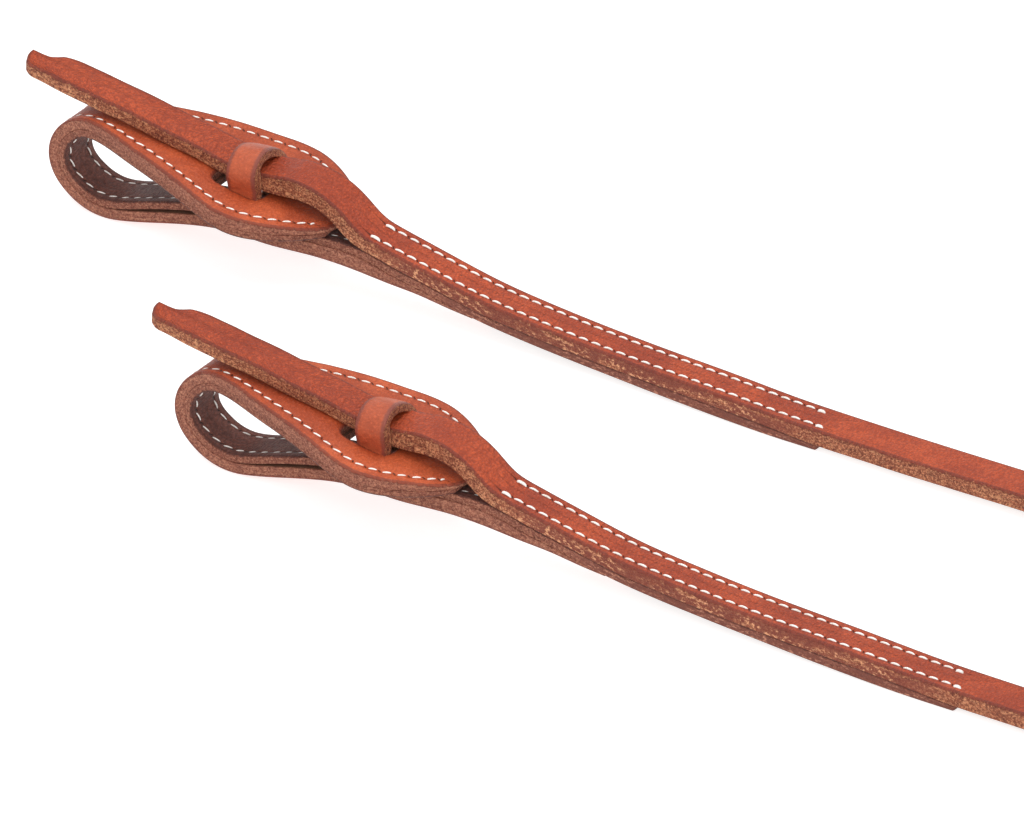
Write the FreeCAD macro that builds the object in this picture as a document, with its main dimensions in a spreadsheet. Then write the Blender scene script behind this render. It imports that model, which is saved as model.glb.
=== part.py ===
import os

import FreeCAD
import Part

from FreeCAD import Placement, Rotation, Vector

# A pair of split riding reins with quick-change bit ends.
#
# Each rein's own axes: X runs along the rein from the left end of its bit loop, Y across it, Z up
# from the surface it lies on. A bit end is a stitched leather loop strap whose wide flap has a slot.
# The keeper stands up through the slot, and the rein strap's tongue goes through the keeper, which
# locks the flap down. The rest of each rein is wound on edge into a flat, long coil and tied.

doc = FreeCAD.newDocument("reins")

DIMENSIONS = [
    ("rein_1_x", -258.8, "loop end of rein 1 from the pair's centre"),
    ("rein_1_y", 61.7, "centre line of rein 1"),
    ("rein_2_x", -124.6, "loop end of rein 2 from the pair's centre"),
    ("rein_2_y", -61.7, "centre line of rein 2"),
    ("rein_width", 15.9, "5/8 inch rein leather"),
    ("rein_thick", 5.85, "rein leather where it is a single strap"),
    ("tongue_width", 15.0, "edge-bevelled tongue"),
    ("flap_width", 53.6, "widest part of the slotted flap"),
    ("blank_width", 56.0, "loop strap's leather before its sides are cut to shape"),
    ("glue_gap", 0.1, "room under the rein strap"),
    ("arm_split", 19.9, "height between the loop strap's lower arm and its flap"),
    ("slot_start", 66.0, "left end of the flap's slot"),
    ("slot_end", 91.0, "right end of the flap's slot"),
    ("slot_width", 25.0, "slot across the flap"),
    ("keeper_start", 75.0, "left face of the keeper"),
    ("keeper_width", 11.9, "keeper along the rein"),
    ("keeper_stitch_low", 10.4, "underside of the stitches through the keeper's tabs"),
    ("keeper_stitch_high", 18.3, "top of the stitches through the keeper's tabs"),
    ("keeper_stitch_inset", 3.0, "those stitches from the keeper's sides"),
    ("keeper_stitch_row", 2.6, "those stitches from the rein's middle"),
    ("row_spacing", 9.2, "between the two stitched rows"),
    ("stitch_pitch", 5.0, "five stitches to the inch"),
    ("stitch_reach", 3.7, "thread seen between two needle holes"),
    ("thread_width", 1.1, "waxed thread across the stitch"),
    ("thread_depth", 0.6, "height of a stitch"),
    ("thread_proud", 0.3, "stitch above the leather on the upper side"),
    ("edge_inset", 4.5, "flap stitching from the flap's edge"),
    ("loop_inset", 3.4, "loop stitching from the strap's edge"),
    ("flap_row_x", 30.0, "where the row takes up the flap's wider inset"),
    ("sewn_start", 127.6, "first needle hole of the sewn section"),
    ("sewn_end", 310.0, "last needle hole of the sewn section"),
    ("under_row_short", 2.0, "the row underneath ends this much sooner"),
    ("coil_start_1", 510.0, "rein 1: start of the coil's straight sides"),
    ("coil_start_2", 574.0, "rein 2: start of the coil's straight sides"),
    ("coil_run", 80.0, "length of the coil's straight sides"),
    ("coil_radius", 52.0, "radius of the coil's first half turn"),
    ("coil_pitch", 6.0, "from one turn to the next"),
    ("coil_turns", 4, "turns side by side"),
    ("coil_lift", 1.1, "coil's underside above the surface, room for the tie"),
    ("tie_width", 10.0, "coil tie along the coil"),
    ("tie_thick", 1.0, "coil tie leather"),
    ("tie_room", 0.3, "coil tie's looseness across the coil"),
    ("tie_slack", 0.1, "coil tie's looseness over and under the coil"),
]

# Curve ends closer than this are one point, and a cut must take away at least this volume.
SAME_POINT = 1e-6
LEAST_CUT = 1.0

sheet = doc.addObject("Spreadsheet::Sheet", "dims")
for row, (alias, number, meaning) in enumerate(DIMENSIONS, start=1):
    sheet.set(f"A{row}", alias)
    sheet.set(f"B{row}", str(number))
    sheet.setAlias(f"B{row}", alias)
    sheet.set(f"C{row}", meaning)
doc.recompute()


def size(alias):
    return float(sheet.get(alias))


def outline_points(pairs):
    return [Vector(x, z, 0) for x, z in pairs]


def smooth(points):
    curve = Part.BSplineCurve()
    curve.interpolate(points)
    return curve


def offset_points(points, distances):
    """Points moved square to the curve through them, to its right-hand side by each distance."""
    curve = smooth(points)
    moved = []
    for point, distance in zip(points, distances):
        along = curve.tangent(curve.parameter(point))[0]
        moved.append(point + Vector(along.y, -along.x, 0) * distance)
    return moved


# Outer surface of the loop strap: lower arm from its tail, round the loop, then the flap to its tip.
# Each row is x, z, the outer ply's thickness, the gap under the lining and the lining's thickness.
LOOP_STRAP = [
    (138.2, 10.4, 2.9, 0.25, 3.2),
    (126.6, 11.9, 3.8, 0.12, 3.3),
    (106.1, 11.8, 4.0, 0.06, 3.2),
    (86.0, 10.1, 4.0, 1.50, 3.1),
    (74.0, 9.9, 4.0, 1.60, 3.0),
    (57.2, 7.4, 4.0, 1.35, 3.0),
    (45.1, 4.5, 4.0, 1.20, 3.0),
    (31.6, 1.2, 4.0, 0.40, 3.0),
    (21.4, 0.1, 4.0, 0.06, 3.0),
    (13.8, 1.6, 4.0, 0.06, 3.0),
    (7.6, 5.0, 4.0, 0.06, 3.0),
    (3.0, 9.4, 4.0, 0.06, 3.0),
    (0.4, 14.9, 4.0, 0.06, 3.0),
    (0.1, 20.1, 4.0, 0.06, 3.0),
    (1.8, 25.6, 4.0, 0.06, 3.0),
    (5.7, 30.8, 4.0, 0.06, 3.0),
    (11.1, 34.6, 4.0, 0.06, 3.0),
    (17.3, 36.3, 4.0, 0.06, 3.0),
    (24.6, 36.4, 4.0, 0.06, 3.0),
    (37.7, 35.2, 4.0, 0.06, 3.0),
    (47.7, 34.2, 4.0, 0.06, 3.0),
    (59.7, 32.5, 4.0, 0.06, 3.0),
    (71.8, 30.1, 4.0, 0.06, 3.0),
    (79.8, 28.7, 4.0, 0.06, 3.0),
    (87.8, 27.7, 4.0, 0.06, 3.0),
    (100.8, 26.2, 3.3, 0.06, 2.6),
    (112.0, 24.5, 2.1, 0.06, 1.8),
    (114.7, 24.1, 1.9, 0.06, 1.6),
]

# Middle of the round part of the bit loop.
LOOP_MIDDLE = Vector(19.0, 0, 18.5)

# The lining runs on under the rein as the lower ply of the sewn section: x, underside, top.
SEWN_PLY = [
    (308.4, 0.25, 2.25),
    (294.1, 0.10, 3.0),
    (270.0, 0.5, 4.2),
    (238.0, 2.0, 5.35),
    (206.0, 3.9, 7.1),
    (190.1, 5.1, 8.4),
    (174.0, 6.9, 10.1),
    (155.0, 10.2, 13.6),
]

# Free part of the rein strap, from the keeper over the flap's tip to the sewn section.
HUMP_TOP = [
    (77.4, 35.4), (89.4, 36.2), (96.1, 37.2), (102.6, 36.9), (109.6, 35.3), (118.8, 30.4), (126.1, 25.2),
]
HUMP_UNDER = [
    (77.4, 30.2), (89.6, 29.6), (96.3, 30.1), (102.8, 30.2), (109.3, 29.0),
    (114.6, 26.5), (118.1, 23.7), (121.7, 21.2), (125.6, 19.8), (131.0, 18.75),
]
SEWN_TOP = [
    (133.0, 23.2), (141.7, 21.4), (155.0, 18.7), (173.9, 15.2), (190.0, 13.4), (206.0, 12.1),
    (238.0, 10.35), (270.0, 9.3), (294.0, 8.3), (308.4, 8.15), (325.0, 8.2), (340.3, 8.3),
]
SINGLE_UNDER = [(325.0, 2.35), (340.3, 2.45)]
TAIL_TOP = [(343.6, 8.35), (368.0, 8.8), (395.0, 9.3)]

TONGUE_TOP = [
    (-11.6, 49.0), (-3.6, 48.5), (3.0, 47.3), (12.2, 45.9), (20.0, 44.7),
    (29.4, 43.5), (49.6, 39.9), (61.0, 37.8), (70.7, 35.9), (74.5, 35.6),
]
TONGUE_UNDER = [
    (-11.6, 44.8), (-3.6, 43.7), (3.0, 42.3), (12.2, 40.8), (20.0, 39.6),
    (29.4, 38.4), (49.6, 34.8), (61.0, 32.8), (70.7, 30.9), (74.5, 30.6),
]
# Plan of the pointed tip: x, y, from one edge round the point to the other.
TONGUE_TIP = [(-1.5, -7.6), (-9.4, -6.0), (-11.3, 1.0), (-4.0, 6.4), (1.5, 7.6)]

# Half width of the flap at x, and of the lower arm at x.
FLAP_PLAN = [
    (-1.5, 9.0), (9.0, 9.7), (18.0, 11.0), (25.0, 12.6), (38.0, 16.4), (48.0, 19.1), (60.0, 22.3),
    (72.0, 25.3), (80.0, 26.8), (87.0, 26.4), (94.0, 24.2), (101.0, 20.6), (107.6, 15.8), (112.4, 9.8),
]
FLAP_TIP_X = 114.6
ARM_PLAN = [(-1.5, 9.0), (12.0, 9.3), (26.0, 9.5), (44.0, 9.0), (62.0, 8.2), (74.0, 7.9)]
ARM_END_X = 312.0

# Keeper across the rein: y, z of its outer and inner face, from a tab under the lining to the crown.
KEEPER_TAB = (1.5, 14.5, 15.4)
KEEPER_OUTER = [
    (9.2, 14.5), (11.8, 16.2), (12.0, 20.0), (12.0, 26.0), (12.2, 29.6),
    (13.3, 33.0), (14.4, 37.0), (12.9, 41.2), (7.5, 43.8),
]
KEEPER_INNER = [
    (8.2, 15.4), (8.3, 17.0), (8.3, 20.0), (8.3, 26.0), (8.6, 29.6),
    (9.5, 32.8), (10.4, 36.0), (9.3, 38.6), (5.2, 40.0),
]
KEEPER_CROWN = (44.3, 40.3)

# Centre of the rein where it turns on edge into the coil: x, z, roll in degrees.
EDGE_TURN = [
    (395.0, 6.375, 0.0), (412.0, 5.9, 8.0), (430.0, 6.6, 25.0), (448.0, 8.1, 45.0),
    (466.0, 8.8, 65.0), (484.0, 9.0, 82.0), (500.0, 9.05, 90.0),
]

# A frame larger than any strap. Cutting between it and an outline trims a strap to that outline.
FRAME_LOW, FRAME_HIGH = Vector(-30, -60, 0), Vector(330, 60, 0)

parts = []


def plane(body, role):
    return next(item for item in body.Origin.OriginFeatures if item.Role == role)


def place_on_rein(item, rein):
    item.setExpression("Placement.Base.x", f"dims.rein_{rein}_x")
    item.setExpression("Placement.Base.y", f"dims.rein_{rein}_y")
    parts.append(item)


def new_body(label, rein):
    body = doc.addObject("PartDesign::Body", label)
    body.Label = label
    place_on_rein(body, rein)
    return body


def new_sketch(body, role, name, height=None):
    sketch = body.newObject("Sketcher::SketchObject", name)
    sketch.AttachmentSupport = [(plane(body, role), "")]
    sketch.MapMode = "FlatFace"
    if height:
        sketch.setExpression("AttachmentOffset.Base.z", height)
    return sketch


def close_outline(sketch, pieces):
    """Adds curves that follow one another, with a line wherever two ends don't meet."""
    for index, piece in enumerate(pieces):
        sketch.addGeometry(piece, False)
        ends_at = piece.value(piece.LastParameter)
        following = pieces[(index + 1) % len(pieces)]
        starts_at = following.value(following.FirstParameter)
        if ends_at.distanceToPoint(starts_at) > SAME_POINT:
            sketch.addGeometry(Part.LineSegment(ends_at, starts_at), False)


def add_polygon(sketch, corners):
    for start, end in zip(corners, corners[1:] + corners[:1]):
        sketch.addGeometry(Part.LineSegment(start, end), False)


def add_rectangle(sketch, low, high):
    add_polygon(sketch, [low, Vector(high.x, low.y, 0), high, Vector(low.x, high.y, 0)])


def pad_across(body, sketch, width):
    pad = body.newObject("PartDesign::Pad", "Width")
    pad.Profile = sketch
    pad.SideType = "Symmetric"
    pad.setExpression("Length", width)
    return pad


def half_round(upper, lower):
    """The arc from the upper corner to the lower one that bulges towards +X."""
    middle = (upper + lower) * 0.5 + Vector(upper.distanceToPoint(lower) / 2, 0, 0)
    return Part.Arc(upper, middle, lower)


def cut_around(body, outline, height, upwards):
    """Trims one arm of a loop strap to its plan."""
    sketch = new_sketch(body, "XY_Plane", "Plan", height)
    close_outline(sketch, outline)
    add_rectangle(sketch, FRAME_LOW, FRAME_HIGH)
    return cut_through(body, sketch, upwards)


def cut_through(body, sketch, upwards):
    doc.recompute()
    before = body.Shape.Volume
    pocket = body.newObject("PartDesign::Pocket", "Cut")
    pocket.Profile = sketch
    pocket.Type = "ThroughAll"
    pocket.Reversed = upwards
    doc.recompute()
    if body.Shape.Volume > before - LEAST_CUT:
        raise RuntimeError(f"{body.Label}: {pocket.Name} removes nothing")
    return pocket


def mirrored(points):
    return [Vector(point.x, -point.y, 0) for point in reversed(points)]


def flap_outline():
    side = outline_points(FLAP_PLAN)
    round_tip = side + [Vector(FLAP_TIP_X, 0, 0)] + mirrored(side)
    return [smooth(round_tip)]


def arm_outline():
    side = outline_points(ARM_PLAN)
    corner = Vector(ARM_END_X, side[-1].y, 0)
    far = Part.LineSegment(side[-1], corner)
    near_side = mirrored(side)
    near = Part.LineSegment(Vector(corner.x, -corner.y, 0), near_side[0])
    return [smooth(side), far, near, smooth(near_side)]


def loop_faces():
    """The loop strap's four surfaces: outer ply outside and inside, lining outside and inside."""
    outside = [Vector(x, z, 0) for x, z, _, _, _ in LOOP_STRAP]
    depth_inside = [outer for _, _, outer, _, _ in LOOP_STRAP]
    depth_lining = [outer + gap for _, _, outer, gap, _ in LOOP_STRAP]
    depth_all = [outer + gap + lining for _, _, outer, gap, lining in LOOP_STRAP]
    inside = offset_points(outside, depth_inside)
    lining_outside = offset_points(outside, depth_lining)
    lining_inside = offset_points(outside, depth_all)
    return outside, inside, lining_outside, lining_inside


def slot_pocket(body):
    """The flap's slot, its four sides held by the sheet's sizes."""
    sketch = new_sketch(body, "XY_Plane", "Slot", "dims.arm_split")
    half = size("slot_width") / 2
    add_rectangle(sketch, Vector(size("slot_start"), -half, 0), Vector(size("slot_end"), half, 0))
    return cut_through(body, sketch, True)


def build_loop_ply(label, rein, faces):
    """A ply of the loop strap from its two faces, cut to the flap's and the arm's plans."""
    body = new_body(label, rein)
    profile = new_sketch(body, "XZ_Plane", "Profile")
    close_outline(profile, faces)
    pad_across(body, profile, "dims.blank_width")
    cut_around(body, flap_outline(), "dims.arm_split", True)
    cut_around(body, arm_outline(), "dims.arm_split", False)
    slot_pocket(body)


def build_bit_loop(rein):
    outside, inside, _, _ = loop_faces()
    build_loop_ply(f"bit_loop_{rein}", rein, [smooth(outside), smooth(list(reversed(inside)))])


def build_lining(rein):
    _, _, lining_outside, lining_inside = loop_faces()
    gap = size("glue_gap")
    under = [Vector(x, low, 0) for x, low, _ in SEWN_PLY]
    top = [Vector(x, high - gap, 0) for x, _, high in SEWN_PLY]
    lower_face = smooth(under + lining_outside)
    upper_face = smooth(list(reversed(lining_inside)) + list(reversed(top)))
    build_loop_ply(f"lining_{rein}", rein, [lower_face, upper_face])


def strap_faces():
    """Upper and lower face of the rein strap from the keeper to the bend."""
    gap = size("glue_gap")
    _, _, _, lining_inside = loop_faces()
    lining_joint = [lining_inside[0] + Vector(0, 2 * gap, 0)]
    sewn_under = [Vector(x, high + gap, 0) for x, _, high in reversed(SEWN_PLY)]
    under = outline_points(HUMP_UNDER) + lining_joint + sewn_under + outline_points(SINGLE_UNDER)
    return outline_points(HUMP_TOP + SEWN_TOP), under


def build_strap(label, rein, top, under, width):
    """A strap between two faces, with a half-round end where it flexes against the next piece."""
    body = new_body(label, rein)
    profile = new_sketch(body, "XZ_Plane", "Profile")
    close_outline(profile, [smooth(top), half_round(top[-1], under[-1]), smooth(list(reversed(under)))])
    pad_across(body, profile, width)
    return body


def build_rein_strap(rein):
    top, under = strap_faces()
    build_strap(f"rein_strap_{rein}", rein, top, under, "dims.rein_width")


def build_tongue(rein):
    top, under = outline_points(TONGUE_TOP), outline_points(TONGUE_UNDER)
    body = build_strap(f"tongue_{rein}", rein, top, under, "dims.tongue_width")
    tip = new_sketch(body, "XY_Plane", "Tip")
    outline = smooth(outline_points(TONGUE_TIP))
    start, end = outline.value(outline.FirstParameter), outline.value(outline.LastParameter)
    corners = [
        end, Vector(end.x, FRAME_HIGH.y, 0), Vector(FRAME_LOW.x, FRAME_HIGH.y, 0),
        FRAME_LOW, Vector(start.x, FRAME_LOW.y, 0), start,
    ]
    tip.addGeometry(outline, False)
    for first, second in zip(corners, corners[1:]):
        tip.addGeometry(Part.LineSegment(first, second), False)
    cut_through(body, tip, True)


def build_rein_tail(rein):
    top = outline_points(TAIL_TOP)
    under = [point - Vector(0, size("rein_thick"), 0) for point in top]
    body = new_body(f"rein_tail_{rein}", rein)
    profile = new_sketch(body, "XZ_Plane", "Profile")
    close_outline(profile, [smooth(top), smooth(list(reversed(under)))])
    pad_across(body, profile, "dims.rein_width")


def build_keeper(rein):
    tab_y, tab_low, tab_high = KEEPER_TAB
    crown_outer, crown_inner = KEEPER_CROWN
    side_outer = outline_points(KEEPER_OUTER)
    side_inner = outline_points(KEEPER_INNER)
    outer = smooth(side_outer + [Vector(0, crown_outer, 0)] + mirrored_across(side_outer))
    inner = smooth(list(reversed(side_inner + [Vector(0, crown_inner, 0)] + mirrored_across(side_inner))))
    body = new_body(f"keeper_{rein}", rein)
    profile = new_sketch(body, "YZ_Plane", "Section", "dims.keeper_start")
    chain = [
        Part.LineSegment(Vector(tab_y, tab_low, 0), side_outer[0]),
        outer,
        Part.LineSegment(Vector(-side_outer[0].x, tab_low, 0), Vector(-tab_y, tab_low, 0)),
        Part.LineSegment(Vector(-tab_y, tab_high, 0), Vector(-side_inner[0].x, tab_high, 0)),
        inner,
        Part.LineSegment(side_inner[0], Vector(tab_y, tab_high, 0)),
    ]
    close_outline(profile, chain)
    pad = body.newObject("PartDesign::Pad", "Width")
    pad.Profile = profile
    pad.setExpression("Length", "dims.keeper_width")


def mirrored_across(points):
    return [Vector(-point.x, point.y, 0) for point in reversed(points)]


def stitch(hole, next_hole, outwards, proud):
    """One stitch lying along the leather between two needle holes."""
    along = (next_hole - hole).normalize()
    up = (outwards - along * outwards.dot(along)).normalize()
    length, width, depth = size("stitch_reach"), size("thread_width"), size("thread_depth")
    bar = Part.makeBox(length, width, depth, Vector(-length / 2, -width / 2, proud - depth))
    bar.Placement = Placement((hole + next_hole) * 0.5, Rotation(along, up.cross(along), up, "ZXY"))
    return bar


def stitch_line(path, outwards_from, proud):
    """Stitches along a curve at the stitch pitch; outwards_from gives the leather's normal there."""
    count = max(2, round(path.Length / size("stitch_pitch")) + 1)
    holes = path.discretize(Number=count)
    return [stitch(a, b, outwards_from((a + b) * 0.5), proud) for a, b in zip(holes, holes[1:])]


def add_thread(label, rein, stitches):
    thread = doc.addObject("Part::Feature", label)
    thread.Label = label
    thread.Shape = Part.makeCompound(stitches)
    thread.Placement = Placement(Vector(size(f"rein_{rein}_x"), size(f"rein_{rein}_y"), 0), Rotation())
    parts.append(thread)


def face_line(curve, y, low_x, high_x):
    """A line along a strap's face at y, between two x values."""
    points = [point for point in curve.discretize(Distance=2.0) if low_x <= point.x <= high_x]
    return smooth([Vector(point.x, y, point.y) for point in points]).toShape()


def build_sewn_thread(rein):
    top_points, _ = strap_faces()
    top = smooth(top_points)
    under = smooth([Vector(x, low, 0) for x, low, _ in reversed(SEWN_PLY)])
    first_x = size("sewn_start")
    rows = {"near": (-1, size("sewn_end")), "far": (1, size("sewn_end") - size("stitch_pitch"))}
    for side, (sign, last_x) in rows.items():
        y = sign * size("row_spacing") / 2
        upper_path = face_line(top, y, first_x, last_x)
        lower_path = face_line(under, y, first_x, last_x - size("under_row_short"))
        upper = stitch_line(upper_path, lambda point: Vector(0, 0, 1), size("thread_proud"))
        lower = stitch_line(lower_path, lambda point: Vector(0, 0, -1), 0.0)
        add_thread(f"sewn_thread_{side}_{rein}", rein, upper + lower)


def half_width_at(x, plan):
    for (x0, w0), (x1, w1) in zip(plan, plan[1:]):
        if x0 <= x <= x1:
            return w0 + (w1 - w0) * (x - x0) / (x1 - x0)
    return plan[-1][1]


def edge_path(points, sign):
    """A stitched row round the loop strap, set in from the edge of the arm or of the flap."""
    path = []
    for index, point in enumerate(points):
        on_flap = point.y > size("arm_split") and index > len(points) / 2
        plan = FLAP_PLAN if on_flap else ARM_PLAN
        inset = size("edge_inset") if on_flap and point.x > size("flap_row_x") else size("loop_inset")
        half = half_width_at(point.x, plan)
        path.append(Vector(point.x, sign * (half - inset), point.y))
    return path


def build_edge_thread(rein):
    outside, _, _, lining_inside = loop_faces()
    first, last = 2, len(outside) - 2

    def away(point):
        if point.x > LOOP_MIDDLE.x:
            return Vector(0, 0, 1 if point.z > size("arm_split") else -1)
        return Vector(point.x - LOOP_MIDDLE.x, 0, point.z - LOOP_MIDDLE.z)

    for side, sign in {"near": -1, "far": 1}.items():
        outer_path = smooth(edge_path(outside[first:last], sign)).toShape()
        inner_path = smooth(edge_path(lining_inside[first:last], sign)).toShape()
        outer_row = stitch_line(outer_path, away, 0.0)
        inner_row = stitch_line(inner_path, lambda point: away(point) * -1, 0.0)
        add_thread(f"edge_thread_{side}_{rein}", rein, outer_row + inner_row)


def build_keeper_thread(rein):
    """Four stitches that hold the keeper's tabs between the two plies."""
    low, high = size("keeper_stitch_low"), size("keeper_stitch_high")
    inset, row = size("keeper_stitch_inset"), size("keeper_stitch_row")
    start, end = size("keeper_start"), size("keeper_start") + size("keeper_width")
    stitches = []
    for x in (start + inset, end - inset):
        for y in (-row, row):
            stitches.append(Part.makeCylinder(size("thread_width") / 2, high - low, Vector(x, y, low)))
    add_thread(f"keeper_thread_{rein}", rein, stitches)


def build_free_rein(rein):
    """The rein turning on edge: a loft through the strap's section, rolled a little more each time."""
    corner = Vector(size("rein_width") / 2, size("rein_thick") / 2, 0)
    square_to_rein = Rotation(Vector(0, 1, 0), Vector(0, 0, 1), Vector(1, 0, 0), "ZXY")
    _, last_z, last_roll = EDGE_TURN[-1]
    sections = []
    for x, z, roll in EDGE_TURN + [(size(f"coil_start_{rein}"), last_z, last_roll)]:
        section = doc.addObject("Sketcher::SketchObject", f"section_{rein}")
        add_rectangle(section, -corner, corner)
        section.Placement = Placement(Vector(x, 0, z), square_to_rein * Rotation(Vector(0, 0, 1), roll))
        sections.append(section)
    loft = doc.addObject("Part::Loft", f"free_rein_{rein}")
    loft.Label = f"free_rein_{rein}"
    loft.Sections = sections
    loft.Solid = True
    loft.Ruled = True
    place_on_rein(loft, rein)


def long_ring(start, end, far, entry, middle, side):
    """Straight sides and half turns round two ends: the side at entry runs from start to end."""
    def at(x, y):
        return Vector(x, side * y, 0)

    first_radius = far - middle
    back_radius = (far - entry) / 2
    return [
        Part.LineSegment(at(start, middle - first_radius), at(end, middle - first_radius)),
        Part.Arc(at(end, middle - first_radius), at(end + first_radius, middle), at(end, far)),
        Part.LineSegment(at(end, far), at(start, far)),
        Part.Arc(at(start, far), at(start - back_radius, far - back_radius), at(start, entry)),
    ]


def build_coil(rein, side):
    """The wound turns as one ring. The rein comes in at a step between its first and second turn."""
    body = new_body(f"coil_{rein}", rein)
    ring = new_sketch(body, "XY_Plane", "Ring", "dims.coil_lift")
    start = size(f"coil_start_{rein}")
    end = start + size("coil_run")
    radius, half_pitch = size("coil_radius"), size("coil_pitch") / 2
    inner_radius = radius + half_pitch - size("coil_turns") * size("coil_pitch")
    far = 2 * radius + half_pitch
    close_outline(ring, long_ring(start, end, far, half_pitch, radius, side))
    close_outline(ring, long_ring(start, end, radius + inner_radius, radius - inner_radius, radius, side))
    pad = body.newObject("PartDesign::Pad", "Height")
    pad.Profile = ring
    pad.setExpression("Length", "dims.rein_width")
    build_coil_tie(rein, side, radius + inner_radius, far)


def build_coil_tie(rein, side, inner_y, outer_y):
    """The tie round the coil's turns, halfway along the straight side opposite the rein's entry."""
    body = new_body(f"coil_tie_{rein}", rein)
    middle = f"dims.coil_start_{rein} + dims.coil_run / 2"
    band = new_sketch(body, "YZ_Plane", "Band", f"{middle} - dims.tie_width / 2")
    low_y, high_y = sorted((side * inner_y, side * outer_y))
    low = Vector(low_y, size("coil_lift"), 0)
    high = Vector(high_y, size("coil_lift") + size("rein_width"), 0)
    room = Vector(size("tie_room"), size("tie_slack"), 0)
    thick = Vector(size("tie_thick"), size("tie_thick"), 0)
    add_rectangle(band, low - room, high + room)
    add_rectangle(band, low - room - thick, high + room + thick)
    pad = body.newObject("PartDesign::Pad", "Width")
    pad.Profile = band
    pad.setExpression("Length", "dims.tie_width")


def build_rein(rein, coil_side):
    build_bit_loop(rein)
    build_lining(rein)
    build_keeper(rein)
    build_rein_strap(rein)
    build_tongue(rein)
    build_rein_tail(rein)
    build_sewn_thread(rein)
    build_edge_thread(rein)
    build_keeper_thread(rein)
    build_free_rein(rein)
    build_coil(rein, coil_side)


build_rein(1, -1)
build_rein(2, 1)
doc.recompute()

failed = [item.Name for item in doc.Objects if {"Invalid", "Error"} & set(item.State)]
if failed:
    raise RuntimeError(f"objects that failed: {failed}")
for part in parts:
    if part.Shape.isNull() or not part.Shape.isValid():
        raise RuntimeError(f"{part.Label} has no valid shape")

os.makedirs("parts", exist_ok=True)
for part in parts:
    part.Shape.exportStep(os.path.join("parts", f"{part.Label}.step"))
    box = part.Shape.BoundBox
    print(f"{part.Label:22s} {part.Shape.Volume / 1000:8.2f} cm3  z {box.ZMin:7.3f} to {box.ZMax:7.3f}")
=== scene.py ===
import math

import bpy
import numpy as np
from mathutils import Matrix, Vector, noise


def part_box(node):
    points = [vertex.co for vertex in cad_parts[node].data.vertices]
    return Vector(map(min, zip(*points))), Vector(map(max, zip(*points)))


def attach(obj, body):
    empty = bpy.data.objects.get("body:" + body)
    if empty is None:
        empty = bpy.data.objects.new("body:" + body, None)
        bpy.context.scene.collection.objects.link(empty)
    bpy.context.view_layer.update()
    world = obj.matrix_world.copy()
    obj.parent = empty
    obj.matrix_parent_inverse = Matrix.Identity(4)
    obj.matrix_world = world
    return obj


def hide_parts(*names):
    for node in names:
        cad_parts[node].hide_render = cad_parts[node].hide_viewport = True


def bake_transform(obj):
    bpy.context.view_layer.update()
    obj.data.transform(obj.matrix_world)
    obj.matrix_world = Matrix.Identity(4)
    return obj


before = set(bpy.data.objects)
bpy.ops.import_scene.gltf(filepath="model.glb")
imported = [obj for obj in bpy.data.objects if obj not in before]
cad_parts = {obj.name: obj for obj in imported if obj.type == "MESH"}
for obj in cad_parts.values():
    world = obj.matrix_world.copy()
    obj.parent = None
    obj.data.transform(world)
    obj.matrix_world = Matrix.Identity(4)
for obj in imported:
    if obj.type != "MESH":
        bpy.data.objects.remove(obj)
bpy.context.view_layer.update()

# A pair of split reins with quick-change bit ends. Shapes are worked out in each rein's own axes, in
# millimetres: X along the rein from the left end of its bit loop, Y across it, Z up from the floor.

MM = 0.001

REIN_HALF = 7.95
REIN_THICK = 5.85
STITCH_PITCH = 5.0
ROW_OFFSET = 4.6
# Rounding of a cut edge, and of the edges that are sewn against another ply.
CUT_EDGE_ROUND = 0.7
SEWN_EDGE_ROUND = 0.2
# How far a stitched row is pressed into the strap.
ROW_DIP = 0.16
STRAP_START = 79.0
STRAP_END = 396.0
SEWN_START = 127.6
SEWN_END = 310.0


def rein_origin(rein):
    """Left end of the rein's bit loop on the floor, in metres."""
    low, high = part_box(f"bit_loop_{rein}")
    return np.array([low.x, (low.y + high.y) / 2, 0.0])


# ---- camera

CAMERA_AZIMUTH = 32.85
CAMERA_ELEVATION = 28.74
CAMERA_ROLL = 1.135
CAMERA_LENS = 1200.0
SENSOR_WIDTH = 36.0
SEEN_WIDTH = 342.7
AIM = (210.1, -42.0, 0.0)


def make_camera():
    azimuth, elevation = math.radians(CAMERA_AZIMUTH), math.radians(CAMERA_ELEVATION)
    turn = Matrix.Rotation(azimuth, 3, "Z") @ Matrix.Rotation(math.pi / 2 - elevation, 3, "X")
    turn = turn @ Matrix.Rotation(math.radians(CAMERA_ROLL), 3, "Z")
    data = bpy.data.cameras.new("camera")
    data.lens = CAMERA_LENS
    data.sensor_width = SENSOR_WIDTH
    data.clip_end = 60.0
    camera = bpy.data.objects.new("camera", data)
    bpy.context.scene.collection.objects.link(camera)
    distance = SEEN_WIDTH * MM * CAMERA_LENS / SENSOR_WIDTH
    aim = Vector(rein_origin(1) + np.array(AIM) * MM)
    camera.matrix_world = Matrix.Translation(aim + turn.col[2] * distance) @ turn.to_4x4()
    bpy.context.scene.camera = camera


# ---- curves

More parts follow.
